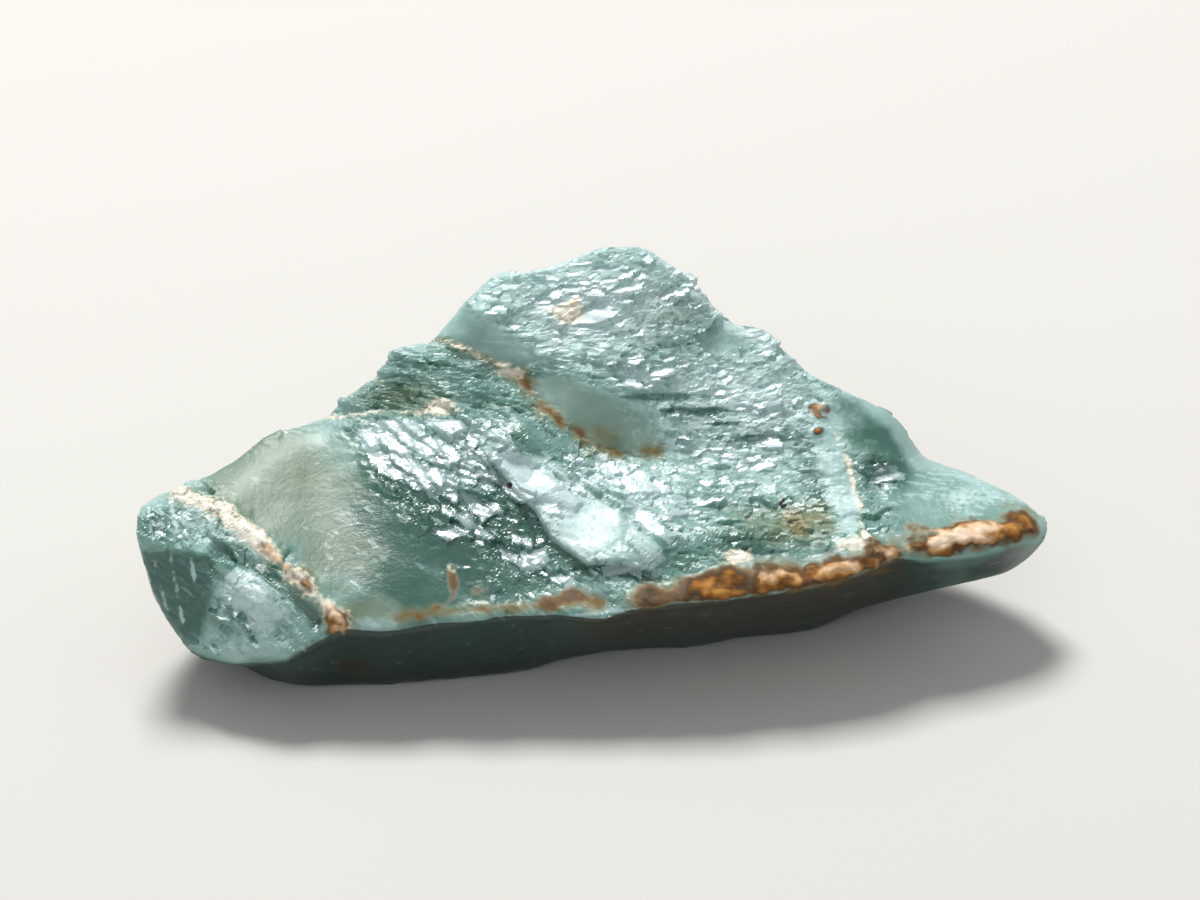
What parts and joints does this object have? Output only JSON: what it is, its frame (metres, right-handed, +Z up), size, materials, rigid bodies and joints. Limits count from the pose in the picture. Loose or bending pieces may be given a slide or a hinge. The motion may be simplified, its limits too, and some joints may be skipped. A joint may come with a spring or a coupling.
{
  "type": "raw grandidierite",
  "caption": "Rough blue-green translucent crystal fragment with a hackly broken face, an undercut smooth front and a flat cleavage base it rests on, with rusty crust along its front edge.",
  "frame": {"origin": "middle of the bounding box in X and Y, on the surface that the stone rests on", "axes": "+X along the stone's length towards its thin tip, +Y from the broken face that is turned up and forward to the back, +Z up"},
  "size_m": [0.022, 0.0104, 0.008],
  "materials": {
    "grandidierite": "glassy broken surface, translucent inside"
  },
  "bodies": {
    "root": {"grandidierite": "grandidierite"}
  },
  "joints": []
}
